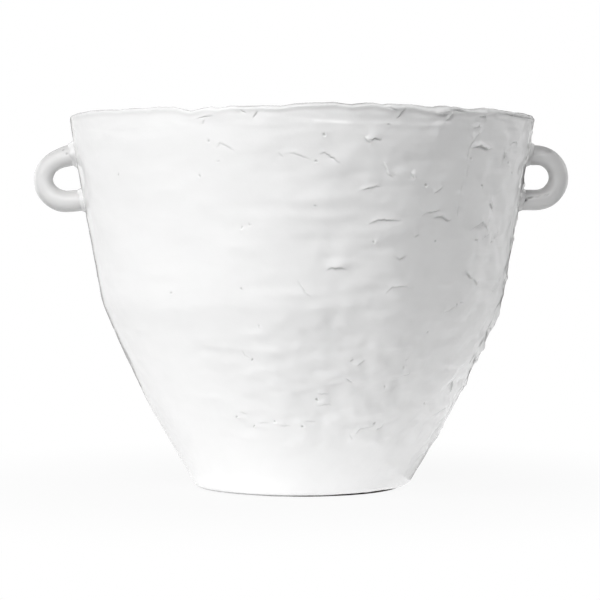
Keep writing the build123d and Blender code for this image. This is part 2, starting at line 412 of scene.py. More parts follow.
def linear(hex_colour):
    """An sRGB hex colour as the linear values that shaders take."""
    parts = [int(hex_colour[i:i + 2], 16) / 255 for i in (0, 2, 4)]
    return [p / 12.92 if p <= 0.04045 else ((p + 0.055) / 1.055) ** 2.4 for p in parts]


# The section as a dense line


def rounded_line(corners):
    """Points along a line whose corners are rounded by tangent arcs, a fixed step apart."""
    points = [Vector(corner[:2]) for corner in corners]
    line = [points[0]]
    for before, at, after, corner in zip(points, points[1:], points[2:], corners[1:]):
        into = (at - before).normalized()
        out = (after - at).normalized()
        turn = atan2(into.cross(out), into.dot(out))
        reach = corner[2] * abs(np.tan(turn / 2))
        start = at - into * reach
        centre = start + Vector((-into.y, into.x)) * corner[2] * np.sign(turn)
        count = max(2, ceil(corner[2] * abs(turn) / LINE_STEP))
        line += [centre + Matrix.Rotation(turn * i / count, 2) @ (start - centre) for i in range(count + 1)]
    line.append(points[-1])
    line = np.array(line)
    length = np.concatenate(([0.0], np.cumsum(np.hypot(*np.diff(line, axis=0).T))))
    keep = np.concatenate(([True], np.diff(length) > 1e-6))
    along = np.arange(0.0, length[-1], LINE_STEP)
    radius = np.interp(along, length[keep], line[keep, 0])
    height = np.interp(along, length[keep], line[keep, 1])
    return along, radius, height


ALONG, LINE_R, LINE_Z = rounded_line(SECTION)
SLOPE_R = np.gradient(LINE_R, ALONG)
SLOPE_Z = np.gradient(LINE_Z, ALONG)
LIP_ALONG = ALONG[np.argmax(LINE_Z)]

# The line's stretch on the outside of the wall, and how far along it the underside turns up
OUTSIDE_START = 86.0
OUTSIDE = slice(np.argmax(LINE_R > OUTSIDE_START), np.argmax(LINE_Z))
FOOT_EDGE = 82.0


def along_at(point):
    """How far along the section line a point lies, in millimetres."""
    return ALONG[np.argmin(np.hypot(LINE_R - point[0], LINE_Z - point[1]))]


def along_at_height(height):
    """How far along the section line the outside reaches a height."""
    return np.interp(height, LINE_Z[OUTSIDE], ALONG[OUTSIDE])


# Relief of the skin


def lumps(points, size, shift):
    """Smooth random heights at points, with lumps of a size in millimetres."""
    offset = Vector((shift, 1.7 * shift, 0.6 * shift))
    return np.array([noise.noise(Vector(point) / size + offset) for point in points])


def smooth_step(values, low, high):
    """0 below low, 1 above high and an easy rise between them."""
    part = np.clip((values - low) / (high - low), 0.0, 1.0)
    return part * part * (3 - 2 * part)


def lot_marks():
    """Tears and pits for the sides and back, drawn by lot in the manner of the front's."""
    lot = random.Random(LOT_SEED)
    tears = []
    for _ in range(LOT_TEARS):
        angle = lot.uniform(*LOT_ANGLES)
        height = 30 + 240 * lot.random() ** 0.8
        tilt = lot.gauss(0, 34)
        before = (lot.uniform(2, 6), tilt + lot.uniform(25, 70)) if lot.random() < 0.45 else NO_HOOK
        after = (lot.uniform(2, 6), tilt - lot.uniform(25, 70)) if lot.random() < 0.35 else NO_HOOK
        faint = 0.6 if angle > 265 else 1.0
        tears.append(Tear(
            angle, height, lot.triangular(4, 18, 8), tilt, faint * lot.uniform(0.25, 0.62),
            lot.uniform(1.0, 1.4), before, after,
        ))
    pits = [(lot.uniform(*LOT_ANGLES), lot.uniform(25, 270), lot.uniform(0.4, 0.9)) for _ in range(LOT_PITS)]
    return tears, pits


def lip_knots():
    """The lip's rise all the way round: the photograph's at the front, by lot at the back."""
    lot = random.Random(LOT_SEED + 1)
    back = [(angle, lot.gauss(0, 1.0)) for angle in range(98, 262, 7)]
    knots = list(LIP_FRONT) + back + [(270.0, LIP_FRONT[0][1])]
    return np.array(knots).T


LOT_TEAR_LIST, LOT_PIT_LIST = lot_marks()
ALL_TEARS = [*TEARS, *LIP_CREASES, *JOIN_CRUMBS, *LOT_TEAR_LIST]
ALL_PITS = [*PITS, *LOT_PIT_LIST]
LIP_ANGLES, LIP_RISES = lip_knots()


def turn_from(turn, degrees):
    """Angles from a mark at an angle in degrees, the short way round."""
    return (turn - radians(degrees) + pi) % tau - pi


def offsets_from(turn, along, angle, height):
    """How far points lie from a mark on the outside, to the right and upwards along the skin."""
    middle = along_at_height(height)
    radius = np.interp(middle, ALONG, LINE_R)
    return turn_from(turn, angle) * radius, along - middle


def heading(tilt):
    """A step of one millimetre at a tilt in degrees."""
    return Vector((cos(radians(tilt)), sin(radians(tilt))))


def tear_knots(tear):
    """The corners of a tear's line, to the right of its middle and above it."""
    half = 0.5 * tear.length * heading(tear.tilt)
    knots = [-half, half]
    if tear.before[0]:
        knots.insert(0, knots[0] - tear.before[0] * heading(tear.before[1]))
    if tear.after[0]:
        knots.append(knots[-1] + tear.after[0] * heading(tear.after[1]))
    return knots


def near_tear(turn, along, tear, margin):
    """Which points lie near a tear, and how far they lie to the right of its middle and above it."""
    right, up = offsets_from(turn, along, tear.angle, tear.height)
    reach = 0.5 * tear.length + tear.before[0] + tear.after[0] + margin
    close = np.flatnonzero(np.hypot(right, up) < reach)
    return close, right[close], up[close]


def tear_line(right, up, tear):
    """Distance above a tear's line, and how far the tear is open there, from 0 to 1."""
    knots = tear_knots(tear)
    lengths = [(b - a).length for a, b in zip(knots, knots[1:])]
    spots = np.column_stack((right, up, np.full(len(right), tear.angle)))
    right = right + 0.5 * lumps(spots, 2.6, 13.0)
    up = up + 0.5 * lumps(spots, 2.6, 17.0)
    nearest = np.full(len(right), 1e6)
    above = np.zeros(len(right))
    part = np.zeros(len(right))
    done = 0.0
    for start, end, length in zip(knots, knots[1:], lengths):
        way = (end - start) / length
        forth = np.clip((right - start.x) * way.x + (up - start.y) * way.y, 0.0, length)
        far = np.hypot(right - start.x - forth * way.x, up - start.y - forth * way.y)
        side = (up - start.y) * way.x - (right - start.x) * way.y
        closer = far < nearest
        nearest[closer] = far[closer]
        above[closer] = np.where(side >= 0, far, -far)[closer]
        part[closer] = ((done + forth) / sum(lengths))[closer]
        done += length
    return above, np.clip(0.12 + 3.6 * part * (1 - part), 0.0, 1.0)


def mark_distance(turn, along):
    """Distance from points to the nearest tear or pit, up to a few millimetres."""
    nearest = np.full(len(turn), 99.0)
    for tear in ALL_TEARS:
        close, right, up = near_tear(turn, along, tear, 5.0)
        above, _ = tear_line(right, up, tear)
        nearest[close] = np.minimum(nearest[close], np.abs(above - 0.4))
    for angle, height, _ in ALL_PITS:
        right, up = offsets_from(turn, along, angle, height)
        close = np.flatnonzero(np.hypot(right, up) < PIT_REACH)
        nearest[close] = np.minimum(nearest[close], np.hypot(right[close], up[close]))
    return nearest


def pit_distance(right, up, angle):
    """Distance from a ragged pit's middle, and 0 to 1 for how far below and right of it points lie."""
    spots = np.column_stack((right, up, np.full(len(right), 3.0 * angle)))
    right = right + 0.8 * lumps(spots, 1.9, 23.0)
    up = up + 0.8 * lumps(spots, 1.9, 29.0)
    lean = 2.2 * angle
    longwise = right * cos(lean) + up * sin(lean)
    crosswise = up * cos(lean) - right * sin(lean)
    far = np.hypot(longwise / 1.3, crosswise / 0.8)
    return far, np.clip(0.5 + 0.35 * (right - up) / (0.2 + np.hypot(right, up)), 0.0, 1.0)


def facets(turn, along, wide, tall, seed):
    """Trowelled patches: tilted planes about so wide and tall, in millimetres, that meet at soft borders."""
    columns = round(tau * MOUTH / wide)
    rows = ceil(ALONG[-1] / tall) + 2
    lot = np.random.default_rng(seed).random((columns, rows, 4))
    across = turn / tau * columns
    upwards = along / tall
    total = np.zeros(len(turn))
    weights = np.zeros(len(turn))
    for column in (-1, 0, 1):
        for row in (-1, 0, 1):
            i = np.floor(across).astype(int) + column
            j = np.floor(upwards).astype(int) + row
            place_across, place_up, tilt_across, tilt_up = lot[i % columns, j % rows].T
            right = across - i - place_across
            up = upwards - j - place_up
            weight = np.exp(-FACET_CRISP * (right**2 + up**2))
            sideways = (2 * tilt_across - 1) * right * wide * FACET_ACROSS
            total += weight * (sideways + (2 * tilt_up - 1) * up * tall)
            weights += weight
    return total / weights


def lip_band(along, below, width):
    """1 at a distance below the lip's top on the outside, falling off over a width to each side."""
    return np.exp(-(((along - LIP_ALONG + below) / width) ** 2))


def plain_relief(turn, along):
    """Height of the skin without its tears and pits: lumps, trowelled patches, rings and thumb marks."""
    settings = bpy.context.scene.cachepot
    radius = np.interp(along, ALONG, LINE_R)
    height = np.interp(along, ALONG, LINE_Z)
    outside = along < LIP_ALONG
    place = np.column_stack((radius * np.sin(turn), -radius * np.cos(turn), height + 0.5 * along))
    calm = 0.2 + 0.8 * smooth_step(height, 25.0, 60.0) * smooth_step(radius, 60.0, 100.0)
    share = np.interp(np.degrees(turn), LUMP_ANGLES, LUMP_SHARES) * np.where(outside, 1.0, 0.6)
    rough_low = np.interp(np.degrees(turn), LOW_ANGLES, LOW_SHARES)
    share = share * (1 + rough_low * smooth_step(-height, -150.0, -110.0) * outside)
    broad = 0.7 * lumps(place * (1, 1, 0.8), 46.0, 3.0) + 0.34 * lumps(place * (1, 1, 1.1), 17.0, 9.0)
    fine = 0.14 * lumps(place * (1, 1, 0.8), 7.0, 27.0)
    patches = 0.16 * np.tanh(5.0 * lumps(place * (1, 1, 1.0), 38.0, 15.0))
    trowelled = 0.035 * facets(turn, along, 19.0, 8.0, 1) + 0.03 * facets(turn, along, 50.0, 9.0, 2)
    rings = 0.07 * np.sin(height * tau / RING_SPACING + 2.4 * lumps(place, 40.0, 5.0))
    rings = rings * smooth_step(height, 120, 170)
    rise = settings.lump_height * share * calm * (broad + fine + patches)
    rise += settings.trowel_tilt * share * calm * trowelled
    rise += settings.ring_height * share * rings * (0.5 + lumps(place, 55.0, 35.0))
    rise += 0.02 * lumps(place, 4.0, 21.0)
    for angle, level, half_width, half_height, lift in THUMBED:
        right, up = offsets_from(turn, along, angle, level)
        lift = lift if level > RIM_BAND else THUMB_RISE * lift
        rise += lift * np.exp(-((right / half_width) ** 2) - (up / half_height) ** 2) * outside
    for angle, level, length, lift in DRAGS:
        right, up = offsets_from(turn, along, angle, level)
        ridge = np.sin(pi * np.clip(right / length, 0.0, 1.0)) ** 0.7
        rise += lift * ridge * np.exp(-((up / 1.6) ** 2)) * outside
    right, _ = offsets_from(turn, along, JOIN_ANGLE, 240.0)
    right = right + 5.0 * lumps(np.column_stack((0 * height, 0 * height, height)), 13.0, 45.0)
    proud = smooth_step(right, -1.6, 1.6) * np.exp(-np.clip(right, 0, None) / 25.0)
    rise += JOIN_STEP * proud * smooth_step(height, 180, 205) * smooth_step(-height, -283, -276) * outside
    bead = lip_band(along, 4.2, 1.7)
    plump = np.interp(np.degrees(turn), LIP_PLUMP_ANGLES, LIP_PLUMP_SHARES)
    rise += 0.45 * plump * bead * np.clip(0.7 + 1.2 * lumps(place, 30.0, 55.0), 0.0, 1.4)
    rise += 0.7 * (1 - plump) * lip_band(along, 1.9, 1.0)
    return rise


def relief(turn, along):
    """Height of the skin over the plain section at points, and how grey the glaze is there: running thinner
    at the lip's edge, grey in tears and pits that is partly the clay showing and partly painted shade, and
    painted shade over the lip's bead.
    """
    settings = bpy.context.scene.cachepot
    rise = plain_relief(turn, along)
    thin_and_shade = np.zeros(len(turn))
    for tear in ALL_TEARS:
        close, right, up = near_tear(turn, along, tear, 10.0)
        above, open_part = tear_line(right, up, tear)
        depth = tear.depth * settings.tear_depth * open_part
        long_share = min(1.0, tear.length / SHORT_TEAR)
        lift = TEAR_LIFT * tear.depth ** 0.5 * settings.tear_depth * open_part * long_share
        curl = np.interp(tear.angle if tear.angle < 180 else tear.angle - 360, CURL_ANGLES, CURL_SHARES)
        high = np.clip(above, 0.0, None)
        lifted = curl * (1 - np.exp(-high / CURL_START)) * np.exp(-high / CURL_REACH)
        sunk = np.where(above < 0, np.exp(above / SUNK_REACH), 0.0)
        groove = np.exp(-((above / (0.5 * tear.gape)) ** 2))
        rise[close] += lift * lifted - depth * (0.3 * sunk + 0.6 * groove)
        # The groove is greyed: partly the glaze running thinner over the dark clay, partly painted shade in
        # the crease
        thin_and_shade[close] = np.maximum(thin_and_shade[close], 0.55 * groove * open_part * min(1.0, tear.depth))
    for angle, level, strength in ALL_PITS:
        right, up = offsets_from(turn, along, angle, level)
        close = np.flatnonzero(np.hypot(right, up) < PIT_REACH)
        far, below = pit_distance(right[close], up[close], angle)
        dent = 0.3 * below * np.exp(-(((far - 1.7) / 0.8) ** 2)) - 0.6 * np.exp(-((far / 0.9) ** 2))
        rise[close] += strength * dent
        # The pit's middle is greyed: partly dark clay showing through the glaze, partly painted shade in the
        # dent
        thin_and_shade[close] = np.maximum(thin_and_shade[close], 0.75 * strength * np.exp(-((far / 0.75) ** 2)))
    radius = np.interp(along, ALONG, LINE_R)
    place = np.column_stack((radius * np.sin(turn), -radius * np.cos(turn), along))
    edge = lip_band(along, 0.7, 1.7)
    thin_and_shade = np.maximum(thin_and_shade, edge * np.clip(0.6 + 0.5 * lumps(place, 16.0, 31.0), 0.0, 1.0))
    # A faint grey over the lip's bead is painted shade, toning it down where it catches the light from above
    thin_and_shade = np.maximum(thin_and_shade, 0.14 * lip_band(along, 4.0, 2.5))
    return rise, thin_and_shade


def lip_waver(turn):
    """How far the lip rises over its mean height at angles."""
    settings = bpy.context.scene.cachepot
    degrees = np.degrees(turn)
    degrees = np.where(degrees < -90.0, degrees + 360.0, degrees)
    around = np.column_stack((np.cos(turn), np.sin(turn), np.zeros(len(turn))))
    return settings.lip_waver * np.interp(degrees, LIP_ANGLES, LIP_RISES) + 0.3 * lumps(around, 0.08, 41.0)


def skin_points(turn, along):
    """Points of the finished skin in metres, and how grey the glaze is there, painted shade included."""
    rise, thin_and_shade = relief(turn, along)
    radius = np.interp(along, ALONG, LINE_R) + rise * np.interp(along, ALONG, SLOPE_Z)
    height = np.interp(along, ALONG, LINE_Z) - rise * np.interp(along, ALONG, SLOPE_R)
    height += lip_waver(turn) * smooth_step(-np.abs(along - LIP_ALONG), -WAVER_START, -WAVER_WHOLE)
    hang = smooth_step(along, FOOT_EDGE - 6.0, FOOT_EDGE - 2.0)
    hang = hang * smooth_step(-along, -FOOT_EDGE - 16.0, -FOOT_EDGE)
    height -= hang * np.interp(np.degrees(turn), SAG_ANGLES, SAG_DROPS)
    return MM * np.column_stack((radius * np.sin(turn), -radius * np.cos(turn), height)), thin_and_shade


def skin_normals(turn, along):
    """Outward directions of the finished skin, from points a little to each side."""
    small = 0.4
    radius = np.interp(along, ALONG, LINE_R)
    across = skin_points(turn + small / radius, along)[0] - skin_points(turn - small / radius, along)[0]
    upwards = skin_points(turn, along + small)[0] - skin_points(turn, along - small)[0]
    normals = np.cross(across, upwards)
    return normals / np.linalg.norm(normals, axis=1)[:, None]


# Meshes


def skin_rows(start, end, step):
    """Distances along the section line from one point to another, evenly spaced."""
    first = along_at(start)
    last = along_at(end)
    return np.linspace(first, last, max(2, ceil(abs(last - first) / step) + 1))


def spin_round(bm, verts, edges, axis, steps):
    """Spins an outline all the way round an axis through the origin."""
    bmesh.ops.spin(
        bm, geom=verts + edges, cent=(0, 0, 0), axis=axis, dvec=(0, 0, 0), angle=tau, steps=steps,
        use_merge=True, use_normal_flip=False, use_duplicate=False,
    )


def spun_section(places, axis, steps):
    """A bmesh of a closed section that is spun round an axis through the origin."""
    bm = bmesh.new()
    verts = [bm.verts.new(place) for place in places]
    edges = [bm.edges.new(pair) for pair in zip(verts, verts[1:] + verts[:1])]
    spin_round(bm, verts, edges, axis, steps)
    return bm


def spun_ring(outline, closed=True):
    """A bmesh of an outline spun upright: rows of the skin, and plain points inside the clay."""
    bm = bmesh.new()
    layer = bm.verts.layers.float.new("along")
    reach = bm.verts.layers.float.new("radius")
    verts = []
    for stretch in outline:
        on_skin = isinstance(stretch, np.ndarray)
        for spot in stretch:
            radius = np.interp(spot, ALONG, LINE_R) if on_skin else spot[0]
            height = np.interp(spot, ALONG, LINE_Z) if on_skin else spot[1]
            vert = bm.verts.new((radius, 0, height))
            vert[layer] = spot if on_skin else -1.0
            vert[reach] = radius
            verts.append(vert)
    edges = [bm.edges.new(pair) for pair in zip(verts, verts[1:])]
    if closed:
        edges.append(bm.edges.new((verts[-1], verts[0])))
    spin_round(bm, verts, edges, UPRIGHT, SPIN_STEPS)
    round_edges = [edge for edge in bm.edges if abs(edge.verts[0].co.z - edge.verts[1].co.z) < 1e-5
                   and edge.verts[0][reach] == edge.verts[1][reach]]
    bmesh.ops.subdivide_edges(bm, edges=round_edges, cuts=SPIN_CUTS, use_grid_fill=True)
    for vert in bm.verts:
        flat = Vector((vert.co.x, vert.co.y, 0))
        if flat.length > 0:
            vert.co.xy = (flat * vert[reach] / flat.length).xy
    bmesh.ops.remove_doubles(bm, verts=bm.verts, dist=1e-4)
    bmesh.ops.recalc_face_normals(bm, faces=bm.faces)
    return bm


def is_skin(face, layer):
    """Whether a face lies on the skin, and not on a joint inside the clay."""
    along = [vert[layer] for vert in face.verts]
    return min(along) >= 0 and max(along) - min(along) < 1.5 * INSIDE_STEP


def refine(bm, reach):
    """Splits the outside's faces that lie near a tear or pit, away from the joints."""
    layer = bm.verts.layers.float["along"]
    faces = [face for face in bm.faces if is_skin(face, layer)]
    inner = set(bm.faces).difference(faces)
    ends = {round(vert[layer], 3) for face in inner for vert in face.verts}
    centres = np.array([face.calc_center_median() for face in faces])
    along = np.array([sum(vert[layer] for vert in face.verts) / len(face.verts) for face in faces])
    near = along < LIP_ALONG - 4.0
    for end in ends:
        near &= np.abs(along - end) > 1.2 * SKIN_STEP
    turn = np.arctan2(centres[:, 0], -centres[:, 1])
    near[near] = mark_distance(turn[near], along[near]) < reach
    edges = {edge for face, wanted in zip(faces, near) if wanted for edge in face.edges}
    if edges:
        bmesh.ops.subdivide_edges(bm, edges=list(edges), cuts=1, use_grid_fill=True)


def finish_skin(bm, name):
    """Moves a spun ring's skin to its finished place and returns it as an object."""
    layer = bm.verts.layers.float["along"]
    inner = {face for face in bm.faces if not is_skin(face, layer)}
    seam_verts = set()
    for face in inner:
        for edge in face.edges:
            if not inner.issuperset(edge.link_faces):
                edge.smooth = False
                seam_verts.update(edge.verts)
    for face in bm.faces:
        face.smooth = True
    seam = np.array([vert in seam_verts for vert in bm.verts])
    along = np.array([vert[layer] for vert in bm.verts])
    joint_faces = [face in inner for face in bm.faces]
    mesh = bpy.data.meshes.new(name)
    bm.to_mesh(mesh)
    bm.free()
    places = np.zeros(3 * len(mesh.vertices))
    mesh.vertices.foreach_get("co", places)
    places = places.reshape(-1, 3)
    turn = np.arctan2(places[:, 0], -places[:, 1])
    skin = along >= 0
    thin_and_shade = np.zeros(len(along))
    places *= MM
    places[skin], thin_and_shade[skin] = skin_points(turn[skin], along[skin])
    mesh.vertices.foreach_set("co", places.ravel())
    mesh.attributes.new("thin_glaze_and_shade", "FLOAT", "POINT").data.foreach_set("value", thin_and_shade)
    hide_seams(mesh, seam & skin, turn, along, joint_faces)
    return bpy.data.objects.new(name, mesh)


def hide_seams(mesh, seam, turn, along, joint_faces):
    """Gives the skin at a joint the whole skin's direction, so that the glaze runs on over it."""
    directions = np.zeros((len(mesh.vertices), 3))
    directions[seam] = skin_normals(turn[seam], along[seam])
    corners = np.zeros(len(mesh.loops), int)
    mesh.loops.foreach_get("vertex_index", corners)
    sizes = np.zeros(len(mesh.polygons), int)
    mesh.polygons.foreach_get("loop_total", sizes)
    normals = directions[corners]
    normals[np.repeat(joint_faces, sizes)] = 0.0
    mesh.normals_split_custom_set(normals)


def wall_reach(side, across, height):
    """How far out the wall stands beside a handle: side is -1 or 1, across runs towards the front."""
    along = along_at_height(height)
    radius = np.interp(along, ALONG, LINE_R)
    turn = side * (pi / 2 - np.arcsin(np.clip(across / radius, -1, 1)))
    rise, _ = relief(turn, along)
    radius = radius + rise * np.interp(along, ALONG, SLOPE_Z)
    return np.sqrt(radius**2 - across**2)


def smooth_curve(knots, step):
    """Points along a smooth curve through knots, about a step apart. The first two columns are places."""
    knots = np.array(knots, float)
    ends = np.vstack((2 * knots[0] - knots[1], knots, 2 * knots[-1] - knots[-2]))
    curve = []
    for a, b, c, d in zip(ends, ends[1:], ends[2:], ends[3:]):
        count = max(1, round(np.hypot(*(c - b)[:2]) / step))
        bend = 2 * a - 5 * b + 4 * c - d
        twist = 3 * b - a - 3 * c + d
        for part in np.arange(count) / count:
            curve.append(b + 0.5 * ((c - a) * part + bend * part**2 + twist * part**3))
    return np.array(curve + [knots[-1]])


def finish_mesh(bm, name, thin_and_shade=None):
    """Turns a bmesh in millimetres into a smooth-shaded object in metres."""
    bmesh.ops.recalc_face_normals(bm, faces=bm.faces)
    for face in bm.faces:
        face.smooth = True
    bmesh.ops.scale(bm, verts=bm.verts, vec=(MM, MM, MM))
    mesh = bpy.data.meshes.new(name)
    bm.to_mesh(mesh)
    bm.free()
    values = np.zeros(len(mesh.vertices)) if thin_and_shade is None else thin_and_shade
    mesh.attributes.new("thin_glaze_and_shade", "FLOAT", "POINT").data.foreach_set("value", values)
    return bpy.data.objects.new(name, mesh)


def loop_handle(side, knots):
    """A rolled coil swept along one loop, with its pits and cracks, and how grey its glaze is, with painted
    highlight and shade.
    """
    bm = bmesh.new()
    curve = smooth_curve(knots, COIL_STEP)
    ways = np.gradient(curve[:, :2], axis=0)
    ring = None
    for (out, height, radius), (step_out, step_up) in zip(curve, ways):
        way = Vector((side * step_out, 0, step_up)).normalized()
        frame_at = Matrix((way.cross(Vector((0, 1, 0))), (0, 1, 0), way)).transposed().to_4x4()
        frame_at.translation = (side * out, 0, height)
        if ring is None:
            ring = bmesh.ops.create_circle(bm, cap_ends=False, radius=1.0, segments=COIL_SIDES)["verts"]
            flat = [vert.co.copy() for vert in ring]
            edges = list(bm.edges)
        else:
            made = bmesh.ops.extrude_edge_only(bm, edges=edges)["geom"]
            ring = [item for item in made if isinstance(item, bmesh.types.BMVert)]
            edges = [item for item in made if isinstance(item, bmesh.types.BMEdge)
                     and item.verts[0] in ring and item.verts[1] in ring]
        for vert, spot in zip(ring, flat):
            vert.co = frame_at @ (spot * radius)
    bmesh.ops.holes_fill(bm, edges=[edge for edge in bm.edges if edge.is_boundary], sides=0)
    bmesh.ops.recalc_face_normals(bm, faces=bm.faces)
    bm.normal_update()
    places = np.array([vert.co for vert in bm.verts])
    rise = 0.5 * lumps(places, 22.0, 50.0 + side) + 0.22 * lumps(places, 8.0, 60.0 + side)
    facing = np.array([vert.normal for vert in bm.verts])
    # The outer side is painted lighter as a highlight; the inner side and the top are painted greyer as shade
    outer_highlight = smooth_step(side * facing[:, 0], 0.55, 0.95)
    inner = smooth_step(-side * facing[:, 0], 0.4, 0.9)
    thin_and_shade = HANDLE_GREY * (1 - outer_highlight + 0.4 * inner) + HANDLE_TOP_SHADE * np.clip(facing[:, 2], 0.0, None)
    for at_side, out, height, reach_along, reach_across, depth in HANDLE_MARKS:
        if at_side == side:
            right = places[:, 0] - side * out
            up = places[:, 2] - height - 0.25 * right * (reach_along > 2)
            dent = np.exp(-((right / reach_along) ** 2) - (up / reach_across) ** 2) * (places[:, 1] < 0)
            rise -= depth * dent
            # Cracks and pits are greyed: partly dark clay showing, partly painted shade in the dent
            thin_and_shade = np.maximum(thin_and_shade, np.clip(1.3 * depth * dent, 0.0, 1.0))
    for vert, lift in zip(bm.verts, rise):
        vert.co += vert.normal * lift
    return bm, thin_and_shade


def luted_collar(side, height, radius, spread, climb):
    """A collar of clay round a handle's root: a section spun round the coil and laid on the wall."""
    parts = np.linspace(0, 1, 9)
    section = [(part * spread, (1 - part) * climb) for part in parts]
    section += [(spread - 0.6, -1.6), (-1.4, -1.6), (-1.4, climb + 0.2)]
    bm = spun_section([(lift, 0, radius + aside) for aside, lift in section], SIDEWAYS, COLLAR_STEPS)
    places = np.array([vert.co for vert in bm.verts])
    lift = places[:, 0]
    aside = np.hypot(places[:, 1], places[:, 2]) - radius
    facing = np.arctan2(-places[:, 1], places[:, 2])
    round_place = np.column_stack((np.cos(facing), np.sin(facing), np.full(len(facing), 0.01 * height)))
    uneven = lumps(round_place, 0.5, 70.0 + side)
    front = np.sin(facing)
    convex = 0.5 + 0.5 * front + 0.5 * uneven - 2.2 * np.cos(facing) ** 2
    part = np.clip(aside / spread, 0, 1)
    on_top = (lift > -1.0) & (aside > -1.0)
    wide = 1 + 0.45 * uneven + 0.25 * np.abs(front)
    aside = np.where(aside > 0, aside * wide, aside)
    lift = np.where(on_top, lift * (1 + 0.3 * uneven) + convex * np.sin(pi * part) - 0.35 * part, lift)
    across = np.sin(facing) * (radius + aside)
    level = height + np.cos(facing) * (radius + aside)
    out = wall_reach(side, across, level) + lift
    for vert, x, y, z in zip(bm.verts, side * out, -across, level):
        vert.co = (x, y, z)
    return bm


def foot_ring():
    """The bare ring that the pot stands on, a little chipped and uneven at its edges."""
    bm = spun_section([(radius, 0, height) for radius, height in FOOT_SECTION], UPRIGHT, FOOT_STEPS)
    places = np.array([vert.co for vert in bm.verts])
    wear = FOOT_WEAR * lumps(places, 9.0, 80.0)
    for vert, move in zip(bm.verts, wear):
        vert.co.xy *= 1 + move / FOOT_RADIUS
    return bm


def place_piece(obj, slot, *nodes):
    """Links a piece, sets it riding on the pot's one body and hides the solids that it stands for."""
    bpy.context.scene.collection.objects.link(obj)
    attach(obj, "root")
    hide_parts(*nodes)


# Materials


def add_node(tree, kind, inputs=None, **settings):
    """Adds a node with its settings, and gives each of its inputs a value or a link from another socket."""
    made = tree.nodes.new(kind)
    for name, value in settings.items():
        setattr(made, name, value)
    for name, value in (inputs or {}).items():
        if isinstance(value, bpy.types.NodeSocket):
            tree.links.new(value, made.inputs[name])
        else:
            made.inputs[name].default_value = value
    return made


def new_material(name):
    """An empty node material and its output node."""
    material = bpy.data.materials.new(name)
    material.use_nodes = True
    material.node_tree.nodes.clear()
    return material, add_node(material.node_tree, "ShaderNodeOutputMaterial")


def mixed_colour(tree, share, first, second):
    """A mix of two colours."""
    inputs = {"Factor": share, "A": first, "B": second}
    return add_node(tree, "ShaderNodeMix", inputs, data_type="RGBA").outputs["Result"]


def tin_glaze():
    """White tin glaze over dark clay: glossy, faintly uneven, grey where it runs thinner at edges and tears,
    and grey where shade is painted into tears, pits, the lip's bead and the handles.
    """
    settings = bpy.context.scene.cachepot
    material, output = new_material("white_tin_glaze")
    tree = material.node_tree
    place = add_node(tree, "ShaderNodeTexCoord").outputs["Object"]
    # How grey the glaze is: partly where it runs thinner, partly painted shade in creases, pits, over the
    # lip's bead and on the handles, and less grey as a painted highlight on the handles' outer sides
    thin_and_shade = add_node(tree, "ShaderNodeAttribute", attribute_name="thin_glaze_and_shade").outputs["Fac"]
    cloud = add_node(tree, "ShaderNodeTexNoise", {"Vector": place, "Scale": 1 / CLOUD_SIZE, "Detail": 3.0})
    peel = add_node(tree, "ShaderNodeTexNoise", {"Vector": place, "Scale": 1 / PEEL_SIZE, "Detail": 2.0})
    milk = mixed_colour(tree, cloud.outputs["Fac"], (*settings.glaze, 1), (*settings.pooled, 1))
    rough = add_node(
        tree, "ShaderNodeMapRange",
        {"Value": cloud.outputs["Fac"], "From Min": 0.3, "From Max": 0.7, "To Min": 0.06, "To Max": 0.12},
    )
    bump = add_node(
        tree, "ShaderNodeBump", {"Height": peel.outputs["Fac"], "Strength": 0.25, "Distance": 0.0002},
    )
    shader = add_node(tree, "ShaderNodeBsdfPrincipled", {
        "Base Color": mixed_colour(tree, thin_and_shade, milk, (*settings.thin_glaze_and_shade, 1)),
        "Roughness": rough.outputs["Result"], "Normal": bump.outputs["Normal"], "IOR": 1.5,
    })
    tree.links.new(shader.outputs["BSDF"], output.inputs["Surface"])
    return material


def bare_clay():
    """Unglazed dark stoneware: matt and gritty, flecked with lighter worn clay."""
    settings = bpy.context.scene.cachepot
    material, output = new_material("bare_dark_clay")
    tree = material.node_tree
    place = add_node(tree, "ShaderNodeTexCoord").outputs["Object"]
    grit = add_node(tree, "ShaderNodeTexNoise", {"Vector": place, "Scale": 1 / GRIT_SIZE, "Detail": 4.0})
    bump = add_node(
        tree, "ShaderNodeBump", {"Height": grit.outputs["Fac"], "Strength": 0.6, "Distance": 0.0003},
    )
    shader = add_node(tree, "ShaderNodeBsdfPrincipled", {
        "Base Color": mixed_colour(tree, grit.outputs["Fac"], (*settings.clay, 1), (*settings.clay_worn, 1)),
        "Roughness": 0.8, "Normal": bump.outputs["Normal"],
    })
    tree.links.new(shader.outputs["BSDF"], output.inputs["Surface"])
    return material


def cover(obj, name, make):
    """Covers a piece with a material by name, made the first time it is asked for."""
    obj.data.materials.clear()
    obj.data.materials.append(bpy.data.materials.get(name) or make())


def glaze(obj):
    """Covers a piece with the white glaze."""
    cover(obj, "white_tin_glaze", tin_glaze)


def share_setting(name, description, default=1.0):
    """A number that a user can change."""
    return bpy.props.FloatProperty(name=name, description=description, default=default)


def colour_setting(name, description, hex_colour):
    """A colour that a user can change."""
    default = linear(hex_colour)
    return bpy.props.FloatVectorProperty(name=name, description=description, subtype="COLOR", default=default)


